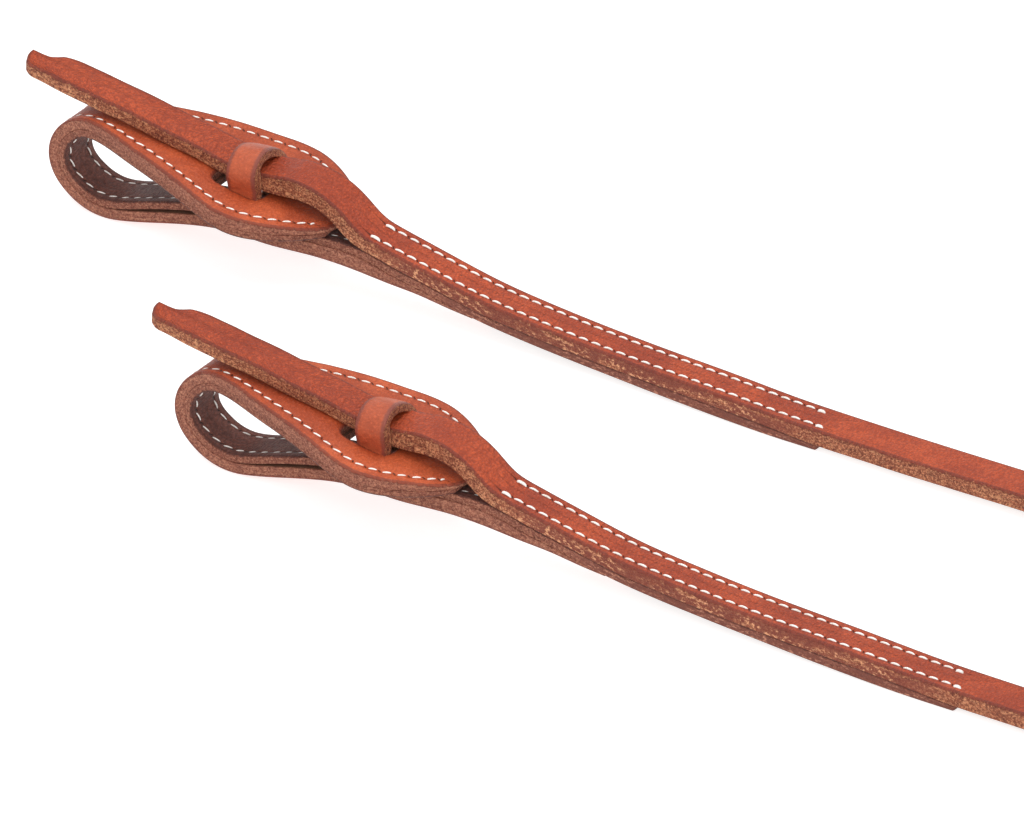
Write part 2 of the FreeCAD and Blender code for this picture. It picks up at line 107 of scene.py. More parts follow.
def cubic(knots, values, at):
    """Natural cubic spline of values at knots, read at the places in at."""
    count = len(knots)
    gap = np.diff(knots)
    system = np.zeros((count, count))
    right = np.zeros((count, values.shape[1]))
    system[0, 0] = system[-1, -1] = 1
    for i in range(1, count - 1):
        system[i, i - 1:i + 2] = gap[i - 1], 2 * (gap[i - 1] + gap[i]), gap[i]
        right[i] = 6 * ((values[i + 1] - values[i]) / gap[i] - (values[i] - values[i - 1]) / gap[i - 1])
    bend = np.linalg.solve(system, right)
    i = np.clip(np.searchsorted(knots, at, side="right") - 1, 0, count - 2)
    h = gap[i][:, None]
    a = ((knots[i + 1] - at)[:, None]) / h
    b = 1 - a
    curve = a * values[i] + b * values[i + 1]
    return curve + ((a**3 - a) * bend[i] + (b**3 - b) * bend[i + 1]) * h**2 / 6


def arc_length(points):
    return np.concatenate([[0], np.cumsum(np.linalg.norm(np.diff(points, axis=0), axis=1))])


def unit(vectors):
    return vectors / np.linalg.norm(vectors, axis=-1)[..., None]


def read_at(places, along, table):
    """Rows of a table of points, read at places between their distances along."""
    return np.stack([np.interp(places, along, column) for column in table.T], axis=-1)


def right_of(points):
    """Unit vectors to the right of a plane curve, at its points."""
    along = unit(np.gradient(points, axis=0))
    return np.stack([along[:, 1], -along[:, 0]], axis=1)


class Strip:
    """Two faces of a strap seen from the side, read by the distance along it."""

    def __init__(self, upper, under):
        self.upper, self.under = upper, under
        self.along = arc_length((upper + under) / 2)
        self.length = self.along[-1]

    def read(self, table, s):
        return read_at(s, self.along, table)

    def faces(self, s, v, lift=0.0):
        """Upper and under points at distance s along and v across; lift raises both off the strap."""
        upper, under = self.read(self.upper, s), self.read(self.under, s)
        shift = unit(upper - under) * lift[..., None]
        upper, under = upper + shift, under + shift
        return (np.stack([p[..., 0], v, p[..., 1]], axis=-1) for p in (upper, under))

    def at_x(self, x):
        """Distance along at which the upper face passes x, on a strap that runs one way."""
        order = np.argsort(self.upper[:, 0])
        return np.interp(x, self.upper[order, 0], self.along[order])


# Steps between points: along a strap's side view, its grid, a stitched row, an outline, the coil.
FINE = 0.1
GRID_STEP = 0.9
ROW_STEP = 0.25
OUTLINE_STEP = 0.2
COIL_STEP = 1.6

# Loop strap: x, z of its outer surface, outer ply, gap under the lining, lining.
LOOP_STRAP = [
    (138.2, 9.7, 3.6, 0.02, 3.4), (126.6, 10.5, 5.2, 0.02, 3.4), (106.1, 10.7, 5.1, 0.05, 3.2),
    (86.0, 9.4, 4.7, 0.9, 3.1), (74.0, 9.6, 4.3, 1.2, 3.0), (57.2, 7.4, 4.0, 1.35, 3.0),
    (45.1, 4.5, 4.0, 1.2, 3.0), (31.6, 1.2, 4.0, 0.5, 3.0), (21.4, 0.1, 4.0, 0.05, 3.0),
]
# Round the bend and along the upper arm the plies keep their thickness: x, z of the outer surface.
LOOP_BEND = [
    (13.8, 1.6), (7.6, 5.0), (3.0, 9.4), (0.4, 14.9), (0.1, 20.1), (1.8, 25.6), (5.7, 30.8), (11.1, 34.6),
    (17.3, 36.3), (24.6, 36.4), (37.7, 35.2), (47.7, 34.2), (59.7, 32.5), (71.8, 30.1), (79.8, 28.7),
    (87.8, 27.7),
]
LOOP_STRAP += [(x, z, 4.0, 0.02, 3.0) for x, z in LOOP_BEND]
LOOP_STRAP += [(100.8, 26.2, 3.3, 0.02, 2.6), (112.0, 24.5, 2.1, 0.02, 1.8), (114.7, 24.1, 1.9, 0.02, 1.6)]
# The outer ply thins away under the sewn section: x, z of its outer surface, thickness.
OUTER_TAIL = [(171.0, 6.9, 0.6), (161.0, 7.8, 1.35), (150.0, 9.1, 2.1)]
# The lining goes on under the rein as the sewn section's lower ply: x, underside, top.
SEWN_PLY = [
    (308.4, 0.25, 2.3), (294.1, 0.1, 3.05), (270.0, 0.5, 4.25), (238.0, 2.0, 5.4), (206.0, 3.9, 7.15),
    (190.1, 5.1, 8.45), (174.0, 6.9, 10.2), (155.0, 10.2, 13.75), (147.0, 11.75, 15.2),
]
# Rein strap: x, z of the upper face and of the under face, a row for each place along it.
REIN_STRAP = [
    (STRAP_START, 35.5, STRAP_START, 30.1), (89.4, 36.2, 89.6, 29.6), (96.1, 37.2, 96.2, 30.1),
    (102.6, 36.9, 101.6, 30.4), (109.6, 35.3, 107.6, 29.6), (114.6, 33.1, 111.2, 28.3),
    (118.8, 30.4, 114.7, 26.3), (122.6, 27.5, 118.6, 23.3), (126.1, 25.3, 122.8, 20.8),
    (133.0, 23.2, 131.3, 18.55), (141.7, 21.4, 140.8, 16.5), (155.0, 18.7, 154.2, 13.95),
    (173.9, 15.2, 173.3, 10.3), (190.0, 13.4, 189.6, 8.5), (206.0, 12.1, 205.7, 7.2),
    (238.0, 10.35, 237.8, 5.45), (270.0, 9.3, 269.9, 4.3), (294.0, 8.3, 294.0, 3.1),
    (308.4, 8.15, 308.4, 2.35), (325.0, 8.2, 325.0, 2.35), (340.3, 8.3, 340.3, 2.45),
    (368.0, 8.8, 368.0, 2.95), (STRAP_END, 9.3, STRAP_END, 3.45),
]
TONGUE = [
    (82.0, 35.6, 82.0, 30.2), (74.5, 35.6, 74.4, 30.6), (70.7, 35.9, 70.4, 30.9), (61.0, 37.8, 60.5, 32.9),
    (49.6, 39.9, 49.0, 34.9), (29.4, 43.5, 28.8, 38.5), (20.0, 44.7, 19.6, 39.6), (12.2, 45.9, 11.8, 40.8),
    (3.0, 47.3, 2.4, 42.4), (-3.6, 48.5, -4.0, 43.8), (-11.9, 49.4, -11.9, 45.0),
]
# Keeper across the rein, from its near tab over the crown to its far tab: y, z outside, thickness.
KEEPER = [
    (-9.2, 14.5, 1.4), (-11.9, 17.0, 3.4), (-12.1, 22.0, 3.6), (-12.2, 27.0, 3.8), (-12.5, 30.0, 4.4),
    (-13.4, 33.5, 5.0), (-13.5, 36.6, 4.9), (-12.5, 39.4, 4.6), (-9.9, 41.5, 4.2), (-5.6, 42.4, 3.9),
    (-1.2, 41.6, 3.6), (3.4, 39.7, 3.2), (7.4, 37.3, 2.7), (10.0, 34.4, 2.5), (11.3, 31.0, 2.6),
    (11.8, 26.0, 3.0), (11.8, 18.0, 3.2), (9.2, 14.5, 1.4),
]
KEEPER_LEFT, KEEPER_WIDTH = 75.0, 11.6
# The band drifts left as it goes over, and its crown rises to the right with the strap in it.
KEEPER_SKEW, KEEPER_RISE = 0.17, 0.12
# Half widths at x, of the flap and of the lower arm.
FLAP_PLAN = [
    (-1.5, 9.0), (9.0, 9.7), (18.0, 11.0), (25.0, 12.6), (38.0, 16.4), (48.0, 19.1), (60.0, 22.3),
    (72.0, 25.3), (80.0, 26.8), (87.0, 26.4), (94.0, 24.2), (101.0, 20.6), (107.6, 15.8), (112.4, 9.8),
    (114.6, 0.0),
]
ARM_PLAN = [(-1.5, 9.0), (12.0, 9.3), (26.0, 9.5), (44.0, 9.0), (62.0, 8.3), (76.0, 7.95), (400.0, 7.95)]


def fill_in(rows, knots):
    """The rows and those between them, smoothly and at fine steps of knots."""
    return cubic(knots, rows, np.linspace(0, knots[-1], int(knots[-1] / FINE) + 1))


def pair_strip(rows):
    """Strip from rows of x, z on one face and x, z on the other."""
    rows = np.array(rows, float)
    both = fill_in(rows, arc_length((rows[:, :2] + rows[:, 2:]) / 2))
    return Strip(both[:, :2], both[:, 2:])


def fine_rows(rows):
    """Rows that start with x, z, filled in smoothly between the given ones."""
    rows = np.array(rows, float)
    return fill_in(rows, arc_length(rows[:, :2]))


def loop_strips():
    """The outer ply, from its tail to the flap's tip, and the lining, from the sewn section's end."""
    outer_rows = fine_rows(OUTER_TAIL + [row[:3] for row in LOOP_STRAP])
    outside = outer_rows[:, :2]
    outer = Strip(outside, outside + right_of(outside) * outer_rows[:, 2:])
    fine = fine_rows(LOOP_STRAP)
    outside, inward = fine[:, :2], right_of(fine[:, :2])
    ply, gap, lining = fine[:, 2:3], fine[:, 3:4], fine[:, 4:5]
    lining_back = outside + inward * (ply + gap)
    lining_face = outside + inward * (ply + gap + lining)
    sewn = np.array(SEWN_PLY, float)
    joined = np.concatenate([
        np.stack([sewn[:, 0], sewn[:, 2], sewn[:, 0], sewn[:, 1]], axis=1),
        np.concatenate([lining_face[::40], lining_back[::40]], axis=1),
    ])
    return outer, pair_strip(joined)


# ---- meshes

def new_mesh(name, rein, points, faces, materials, slots, attributes):
    """A mesh object from points in the rein's millimetres; attributes hold a value for each point."""
    mesh = bpy.data.meshes.new(name)
    vertices = np.asarray(points) * MM + rein_origin(rein)
    mesh.from_pydata(vertices.tolist(), [], faces)
    for material in materials:
        mesh.materials.append(material)
    mesh.polygons.foreach_set("material_index", np.array(slots, np.int32))
    mesh.polygons.foreach_set("use_smooth", np.ones(len(faces), bool))
    for key, values in attributes.items():
        layer = mesh.attributes.new(key, "FLOAT", "POINT")
        layer.data.foreach_set("value", np.array(values, np.float32))
    mesh.update()
    piece = bpy.data.objects.new(name, mesh)
    bpy.context.scene.collection.objects.link(piece)
    return piece


def ripple(points, wavelength, seed):
    """Smooth noise from -1 to 1 at each point."""
    shift = Vector((seed * 7.3, seed * 3.1, seed * 5.7))
    return np.array([noise.noise(Vector(p) / wavelength + shift) for p in points])


def boundary_loops(quads):
    """Closed rings of vertices round the quads' outside and round every hole in them."""
    used = {edge for quad in quads for edge in zip(quad, quad[1:] + quad[:1])}
    following = {a: b for a, b in used if (b, a) not in used}
    loops = []
    while following:
        start = next(iter(following))
        ring = [start]
        step = following.pop(start)
        while step != start:
            ring.append(step)
            step = following.pop(step)
        loops.append(ring)
    return loops


def nearest(points, targets):
    """Distance from each point to the target nearest to it, and that target's number."""
    best, which = np.full(len(points), np.inf), np.zeros(len(points), int)
    for start in range(0, len(targets), 200):
        gaps = np.linalg.norm(points[:, None, :] - targets[None, start:start + 200], axis=2)
        distance = gaps.min(axis=1)
        closer = distance < best
        best[closer] = distance[closer]
        which[closer] = start + gaps.argmin(axis=1)[closer]
    return best, which


# A cut edge's rounded corner: depth below the face and distance out of each ring, per edge radius.
CORNER = [(0.13, 0.5), (0.5, 0.87), (1.0, 1.0)]
# Places down the flat of a cut edge at which it has a ring.
WALL_RINGS = (0.15, 0.32, 0.5, 0.68, 0.85)
# How far a cut edge strays from its line, and over what length; its finer bumps' lengths.
WANDER, WANDER_LENGTH = 0.12, 17.0
BUMP_LENGTHS = (1.1, 4.0)
# Values for the under side and for points that are on no stitched row.
UNDER_SIDE = -9.0
NO_ROW = 99.0


def grid_quads(shape, keep):
    """Faces between the points of a grid, left out where keep is false."""
    index = np.arange(shape[0] * shape[1]).reshape(shape)
    corners = np.stack([index[:-1, :-1], index[:-1, 1:], index[1:, 1:], index[1:, :-1]], axis=-1)
    return (corners.reshape(-1, 4) if keep is None else corners[keep]).tolist()


def facing_up(quads, top, low):
    """The quads, turned so that they face away from the under side."""
    a, b, _, d = (top[vertex] for vertex in quads[0])
    if np.cross(b - a, d - a) @ (a - low[quads[0][0]]) < 0:
        return [quad[::-1] for quad in quads]
    return quads


def grid_distances(grid):
    """Distance along, and across from the middle, of each point of a grid."""
    steps = np.linalg.norm(np.diff(grid, axis=0), axis=2).mean(axis=1)
    along = np.repeat(np.concatenate([[0], np.cumsum(steps)]), grid.shape[1])
    steps = np.linalg.norm(np.diff(grid, axis=1), axis=2)
    across = np.concatenate([np.zeros((len(grid), 1)), np.cumsum(steps, axis=1)], axis=1)
    middle = (grid.shape[1] - 1) // 2
    return along, (across - across[:, [middle]]).ravel()


def wall_profile(radius, low_radius, body):
    """Rings of a cut edge from the top down: depth below the upper face and distance out."""
    profile = [(radius * depth, radius * out) for depth, out in CORNER]
    for share in WALL_RINGS:
        profile.append((radius + (body - radius - low_radius) * share, radius))
    for depth, out in reversed(CORNER):
        profile.append((body - low_radius * depth, radius - low_radius * (1 - out)))
    return profile


def ring_faces(upper_ring, lower_ring):
    """Faces between two closed rings with as many vertices each."""
    corners = np.roll(upper_ring, -1), upper_ring, lower_ring, np.roll(lower_ring, -1)
    return np.stack(corners, axis=1).tolist()


def slab(
    node, rein, upper, under, materials, slot, seed, also=(), keep=None, rows=(), wall_noise=0.09,
    edge_round=CUT_EDGE_ROUND, under_round=CUT_EDGE_ROUND,
):
    """A piece of leather between two grids of points, with rounded, slightly rough cut edges.

    It stands for the rein's node and the nodes in also; keep marks the grid's faces that aren't holes,
    and rows are the stitched rows.

    Vertex values: rim is the distance in from the cut edge, and below zero the depth down it;
    along and across are distances over the leather; row_u and row_v are places on the nearest
    stitched row. All are in millimetres."""
    top, low = upper.reshape(-1, 3), under.reshape(-1, 3)
    quads = facing_up(grid_quads(upper.shape[:2], keep), top, low)
    vertices = [top, low]
    faces = quads + [[vertex + len(top) for vertex in reversed(quad)] for quad in quads]
    slots = [0] * len(quads) + [1] * len(quads)
    loops = [np.array(ring) for ring in boundary_loops(quads)]
    rim, _ = nearest(top, np.concatenate([top[ring] for ring in loops]))
    along, across = grid_distances(upper)
    values = [
        [rim + edge_round * 0.8, along, across, np.zeros(len(top))],
        [np.full(len(low), UNDER_SIDE), along, across, np.ones(len(low))],
    ]

    for ring in loops:
        rim_top, rim_low = top[ring], low[ring]
        inward = rim_top - rim_low
        body = np.linalg.norm(inward, axis=1)[:, None]
        inward /= body
        edge = np.roll(rim_top, -1, axis=0) - np.roll(rim_top, 1, axis=0)
        out = np.cross(edge, inward)
        out /= np.maximum(np.linalg.norm(out, axis=1), 1e-6)[:, None]
        radius = np.minimum(edge_round, body * 0.4)
        low_radius = np.minimum(under_round, radius)
        wander = ripple(rim_top, WANDER_LENGTH, seed)[:, None] * WANDER
        profile = wall_profile(radius, low_radius, body)
        previous = ring
        for number, (down, outwards) in enumerate(profile):
            place = rim_top - inward * down + out * (outwards + wander * outwards / radius)
            if len(CORNER) <= number <= len(CORNER) + len(WALL_RINGS):
                for shift, length in zip((3, 5), BUMP_LENGTHS):
                    place = place + out * (ripple(place, length, seed + shift) * wall_noise)[:, None]
            current = sum(len(part) for part in vertices) + np.arange(len(ring))
            vertices.append(place)
            faces += ring_faces(previous, current)
            above_corner = 0.35 * edge_round * (1 - down / radius)
            rim = np.where(down < radius, above_corner, radius - down).ravel()
            values.append([rim, along[ring], across[ring], (down / body).ravel()])
            previous = current
        faces += ring_faces(previous, ring + len(top))
    slots += [0] * (len(faces) - len(slots))

    points = np.concatenate(vertices)
    attributes = dict(zip(("rim", "along", "across", "depth"), np.concatenate(values, axis=1)))
    row_u, row_v = np.full(len(points), NO_ROW), np.full(len(points), NO_ROW)
    for path in rows:
        u, v = row_place(points, path)
        closer = np.abs(v) < np.abs(row_v)
        row_u[closer], row_v[closer] = u[closer], v[closer]
    attributes["row_u"], attributes["row_v"] = row_u, row_v
    piece = new_mesh(f"{node}_{rein}_leather", rein, points, faces, materials, slots, attributes)
    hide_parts(*(f"{replaced}_{rein}" for replaced in (node, *also)))
    return piece


def row_place(points, path):
    """Distance along a stitched row and to its side, for each point."""
    along = arc_length(path)
    distance, number = nearest(points, path)
    u = along[number]
    side = np.sign(points[:, 1] - np.interp(u, along, path[:, 1]))
    return u, distance * np.where(side == 0, 1, side)


# ---- stitches

STITCH_SHAPE = [  # share along the stitch, height of its middle, radius, in millimetres
    (0.00, -0.42, 0.20), (0.07, -0.12, 0.30), (0.20, 0.08, 0.38), (0.40, 0.20, 0.43),
    (0.62, 0.20, 0.43), (0.82, 0.08, 0.38), (0.94, -0.10, 0.30), (1.00, -0.42, 0.20),
]
STITCH_REACH = 3.7


def stitches(node, rein, rows, slant=0.3):
    """Thread along stitched rows: each row is its needle holes, outward directions and thickness."""
    points, faces, twist = [], [], []
    sides = 10
    rings = len(STITCH_SHAPE)
    for holes, outs, size in rows:
        for number in range(len(holes) - 1):
            start, end = holes[number], holes[number + 1]
            along = end - start
            pitch = np.linalg.norm(along)
            along /= pitch
            out = outs[number] + outs[number + 1]
            out -= along * (out @ along)
            out /= np.linalg.norm(out)
            side = np.cross(out, along)
            wobble = noise.noise(Vector(start) * 0.7 + Vector((rein * 9.0, 0, 0)))
            length = min(STITCH_REACH, pitch * 0.8) * (0.75 + 0.25 * size) * (1 + 0.08 * wobble)
            middle = (start + end) / 2
            base = len(points)
            for share, height, radius in STITCH_SHAPE:
                centre = middle + along * (share - 0.5) * length + out * height * size
                centre = centre + side * (share - 0.5) * slant * (1 + 0.5 * wobble)
                for k in range(sides):
                    turn = 2 * math.pi * k / sides
                    around = side * math.cos(turn) + out * math.sin(turn) * 0.85
                    points.append(centre + around * radius * size)
                    twist.append(share * length)
            for r in range(rings - 1):
                for k in range(sides):
                    a, b = base + r * sides + k, base + r * sides + (k + 1) % sides
                    faces.append((a, b, b + sides, a + sides))
            faces.append(range(base + sides - 1, base - 1, -1))
            faces.append(range(base + (rings - 1) * sides, base + rings * sides))
    name = f"{node}_{rein}_stitches"
    piece = new_mesh(name, rein, points, faces, [thread_material], [0] * len(faces), {"along": twist})
    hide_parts(f"{node}_{rein}")
    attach(piece, f"bit_end_{rein}")


def even_holes(path, outs, size=1.0):
    """Needle holes at the stitch pitch along a path, as a row for stitches."""
    along = arc_length(path)
    places = STITCH_PITCH * np.arange(int(round(along[-1] / STITCH_PITCH)) + 1)
    return read_at(places, along, path), read_at(places, along, outs), size


# ---- materials

# Light and dark of each grain face, and body, dark, light and polished of each cut edge.
GRAIN = ((0.51, 0.082, 0.025), (0.33, 0.046, 0.016))
# The loop strap's grain is more orange than the rein's and is painted lighter as well: a painted lift of
# light on the flap where the tongue's shadow falls.
LOOP_GRAIN_WITH_PAINTED_LIGHT = ((0.56, 0.108, 0.036), (0.37, 0.060, 0.020))
# The lining's grain is dark brown, and part of that darkness is painted shade from the inside of the loop.
LINING_GRAIN_WITH_PAINTED_SHADE = ((0.22, 0.078, 0.056), (0.12, 0.042, 0.032))
KEEPER_GRAIN = ((0.53, 0.112, 0.045), (0.36, 0.068, 0.029))
TIE_GRAIN = ((0.13, 0.045, 0.028), (0.07, 0.026, 0.018))
CUT = ((0.46, 0.128, 0.062), (0.20, 0.048, 0.027), (0.95, 0.42, 0.21), (0.17, 0.027, 0.013))
LOOP_CUT = ((0.46, 0.155, 0.094), (0.25, 0.076, 0.050), (0.66, 0.29, 0.18), (0.17, 0.027, 0.013))
LINING_CUT = ((0.40, 0.128, 0.078), (0.20, 0.060, 0.039), (0.60, 0.26, 0.16), (0.16, 0.040, 0.024))
BURNISH = (0.10, 0.026, 0.022)
LINING_LINE = (0.07, 0.022, 0.018)
KEEPER_LINE = (0.12, 0.042, 0.040)
# Half the length over which a polished stretch of a cut edge fades away.
POLISH_FADE = 12.0


class Nodes:
    """Short names for the shader nodes that the materials share."""

    def __init__(self, name):
        self.material = bpy.data.materials.new(name)
        self.material.use_nodes = True
        self.nodes = self.material.node_tree.nodes
        self.links = self.material.node_tree.links
        self.shader = self.nodes["Principled BSDF"]

    def put(self, socket, value):
        if isinstance(value, bpy.types.NodeSocket):
            self.links.new(value, socket)
        elif socket.type == "RGBA":
            socket.default_value = (*value, 1.0)
        else:
            socket.default_value = value

    def node(self, kind, **inputs):
        """A shader node with values or sockets put into the named inputs."""
        node = self.nodes.new("ShaderNode" + kind)
        for name, value in inputs.items():
            self.put(node.inputs[name.replace("_", " ")], value)
        return node

    def math(self, operation, a, b=0.0, clamp=False):
        node = self.node("Math")
        node.operation = operation
        node.use_clamp = clamp
        self.put(node.inputs[0], a)
        self.put(node.inputs[1], b)
        return node.outputs[0]

    def times(self, a, b):
        return self.math("MULTIPLY", a, b)

    def plus(self, a, b):
        return self.math("ADD", a, b)

    def minus(self, a, b):
        return self.math("SUBTRACT", a, b)

    def ramp(self, value, low, high, smooth=True):
        """0 at low, 1 at high."""
        node = self.node("MapRange", Value=value, From_Min=low, From_Max=high)
        node.interpolation_type = "SMOOTHSTEP" if smooth else "LINEAR"
        return node.outputs["Result"]

    def mix(self, factor, a, b, kind="RGBA"):
        node = self.node("Mix")
        node.data_type = kind
        for name, value in (("Factor", factor), ("A", a), ("B", b)):
            self.put(node.inputs[name], value)
        return node.outputs["Result"]

    def between(self, factor, a, b):
        return self.mix(factor, a, b, "FLOAT")

    def value(self, name):
        node = self.node("Attribute")
        node.attribute_name = name
        return node.outputs["Fac"]

    def vector(self, x, y, z=0.0):
        return self.node("CombineXYZ", X=x, Y=y, Z=z).outputs[0]

    def place(self, scale=(1.0, 1.0, 1.0)):
        """The point on the piece in millimetres, stretched by scale."""
        spot = self.node("TexCoord").outputs["Object"]
        return self.node("Mapping", Vector=spot, Scale=[1000.0 * s for s in scale]).outputs[0]

    def noise(self, vector, scale, detail=3.0, roughness=0.55):
        node = self.node("TexNoise", Vector=vector, Scale=scale, Detail=detail, Roughness=roughness)
        return node.outputs["Fac"]

    def cells(self, vector, scale):
        """Distance to the nearest of a scatter of points."""
        return self.node("TexVoronoi", Vector=vector, Scale=scale).outputs["Distance"]

    def bump(self, height, distance, strength=1.0):
        node = self.node("Bump", Distance=distance * MM, Strength=strength, Height=height)
        return node.outputs["Normal"]

    def finish(self, colour, roughness, normal, specular=0.5):
        inputs = self.shader.inputs
        self.put(inputs["Base Color"], colour)
        self.put(inputs["Roughness"], roughness)
        self.put(inputs["Normal"], normal)
        self.put(inputs["Specular IOR Level"], specular)
        return self.material


def shade(colour, factor):
    return tuple(min(1.0, c * factor) for c in colour)


def stitch_marks(n):
    """The groove of a stitched row and its slanted awl holes, each 0 to 1."""
    row_u, row_v = n.value("row_u"), n.value("row_v")
    groove = n.ramp(n.math("ABSOLUTE", row_v), 1.2, 0.2)
    phase = n.math("DIVIDE", row_u, STITCH_PITCH)
    to_hole = n.times(n.minus(phase, n.math("ROUND", phase)), STITCH_PITCH)
    slant = n.plus(row_v, n.times(to_hole, 0.9))
    along_slit = n.math("POWER", n.times(to_hole, 1.5), 2.0)
    across_slit = n.math("POWER", n.times(slant, 1.9), 2.0)
    hole = n.ramp(n.plus(along_slit, across_slit), 0.9, 0.3)
    return groove, hole


def grain_face(n, spot, light, dark, pebbly, creases, groove, hole):
    """Colour and height of the finished side; pebbly is how plainly its grain shows."""
    clouds = n.noise(spot, 0.045, 4.0, 0.6)
    mottle = n.noise(spot, 0.30, 6.0, 0.7)
    pebbles = n.cells(n.vector(n.value("along"), n.times(n.value("across"), 0.65)), 1.05)
    fine = n.noise(spot, 1.1, 5.0, 0.75)
    wrinkle = n.noise(n.vector(n.value("along"), n.times(n.value("across"), 0.16)), 0.75, 4.0, 0.7)
    colour = n.mix(n.ramp(clouds, 0.34, 0.66), light, dark)
    colour = n.mix(n.times(n.ramp(mottle, 0.45, 0.68), 0.5), colour, dark)
    # Painted highlights: light flecks on the fine grain stand in for the glints off its bumps.
    colour = n.mix(n.times(n.ramp(fine, 0.50, 0.68), 0.25 + 0.35 * pebbly), colour, shade(light, 1.6))
    colour = n.mix(n.times(n.ramp(fine, 0.46, 0.34), 0.25 + 0.30 * pebbly), colour, shade(dark, 0.6))
    colour = n.mix(n.times(n.ramp(pebbles, 0.35, 0.70), 0.60 * pebbly), colour, shade(dark, 0.75))
    colour = n.mix(n.times(n.ramp(wrinkle, 0.52, 0.75), creases), colour, dark)
    colour = n.mix(n.times(groove, 0.30), colour, dark)
    # Painted shade: the awl holes are painted near black, for the shade inside them.
    colour = n.mix(n.times(hole, 0.85), colour, shade(dark, 0.16))
    height = n.minus(n.times(fine, 0.8 + pebbly), n.times(pebbles, 2.2 * pebbly))
    height = n.plus(height, n.times(wrinkle, 0.5 + 2.6 * creases))
    height = n.minus(height, n.times(groove, 1.6))
    height = n.minus(height, n.times(hole, 2.4))
    return colour, height, n.ramp(mottle, 0.2, 1.3, False)


def cut_face(n, spot, body, dark, light, polished, rubbed):
    """Colour and height of the fibrous cut edge, rubbed down to a polish where rubbed is 1."""
    along, depth = n.value("along"), n.value("depth")
    fibres = n.noise(n.place((0.45, 0.45, 1.2)), 1.1, 6.0, 0.8)
    flecks = n.noise(spot, 1.3, 6.0, 0.85)
    layers = n.noise(n.vector(n.times(along, 0.05), n.times(depth, 3.0)), 2.0, 4.0)
    scrapes = n.noise(n.vector(n.times(along, 0.30), n.times(depth, 2.6)), 1.6, 5.0, 0.75)
    patches = n.noise(n.vector(n.times(along, 0.05), n.times(depth, 0.8), 3.0), 1.0, 2.0)
    colour = n.mix(n.ramp(fibres, 0.42, 0.62), body, dark)
    colour = n.mix(n.times(n.ramp(layers, 0.42, 0.68), 0.45), colour, dark)
    colour = n.mix(n.times(n.ramp(flecks, 0.50, 0.60), 0.90), colour, light)
    colour = n.mix(n.times(n.ramp(flecks, 0.47, 0.39), 0.85), colour, shade(dark, 0.4))
    colour = n.mix(n.times(rubbed, 0.85), colour, polished)
    scraped = n.times(n.ramp(scrapes, 0.52, 0.60), n.ramp(patches, 0.42, 0.58))
    colour = n.mix(n.times(scraped, 0.7), colour, shade(light, 1.15))
    height = n.plus(n.times(flecks, 4.0), n.times(fibres, 3.0))
    return colour, n.between(rubbed, height, n.times(scrapes, 3.0))


def leather(
    name, grain, cut, pebbly=1.0, creases=0.0, gloss=0.33, line=BURNISH, line_width=1.0, polish=None,
):
    """Finished leather: grain on the faces, a burnished line at the arris and a fibrous cut edge.

    grain is its light and dark colours and cut the edge's colours. creases wrinkles the grain
    across the strap, and polish is the stretch along it whose cut edge is rubbed smooth."""
    n = Nodes(name)
    spot = n.place()
    groove, hole = stitch_marks(n)
    face_colour, face_height, face_rough = grain_face(n, spot, *grain, pebbly, creases, groove, hole)

    ragged = n.minus(n.noise(spot, 0.8, 3.0), 0.5)
    rim = n.plus(n.value("rim"), ragged)
    line_share = n.times(n.ramp(rim, 0.4 + 0.75 * line_width, 0.4 * line_width), 0.62)
    face_colour = n.mix(line_share, face_colour, line)

    rubbed = 0.0
    if polish:
        along = n.value("along")
        wear = n.noise(n.vector(n.times(along, 0.05), n.value("depth")), 1.0, 3.0)
        start, end = polish
        rubbed = n.times(n.ramp(along, start - POLISH_FADE, start + POLISH_FADE), n.ramp(wear, 0.32, 0.48))
        rubbed = n.times(n.ramp(along, end + POLISH_FADE, end - POLISH_FADE), rubbed)
    cut_colour, cut_height = cut_face(n, spot, *cut, rubbed)
    cut_share = n.ramp(rim, 0.16, -0.22)

    colour = n.mix(cut_share, face_colour, cut_colour)
    rough = n.between(cut_share, face_rough, n.between(rubbed, 0.82, 0.25))
    rough = n.math("ADD", n.times(rough, 0.45), gloss, clamp=True)
    height = n.between(cut_share, face_height, cut_height)
    return n.finish(colour, rough, n.bump(height, 0.26), 0.28)


def flesh(name, colour, dark):
    """The napped underside of leather."""
    n = Nodes(name)
    spot = n.place()
    nap = n.noise(spot, 1.6, 6.0, 0.8)
    patches = n.noise(spot, 0.12, 3.0)
    napped = n.mix(n.ramp(nap, 0.35, 0.7), colour, dark)
    napped = n.mix(n.times(n.ramp(patches, 0.45, 0.7), 0.5), napped, dark)
    return n.finish(napped, 0.88, n.bump(nap, 0.25, 0.9), 0.2)


def thread(name):
    """Waxed white thread: a fine two-ply twist along each stitch."""
    n = Nodes(name)
    spot = n.place()
    strands = n.math("SINE", n.times(n.value("along"), 9.0))
    soil = n.noise(spot, 0.5, 3.0)
    colour = n.mix(n.ramp(soil, 0.45, 0.8), (0.93, 0.90, 0.86), (0.74, 0.66, 0.58))
    # Painted shade: the grooves between the twist's strands are painted darker.
    colour = n.mix(n.times(n.ramp(strands, -0.2, -1.0), 0.18), colour, (0.45, 0.36, 0.30))
    height = n.plus(strands, n.times(n.noise(spot, 6.0, 2.0), 0.6))
    return n.finish(colour, 0.5, n.bump(height, 0.05, 0.6), 0.4)


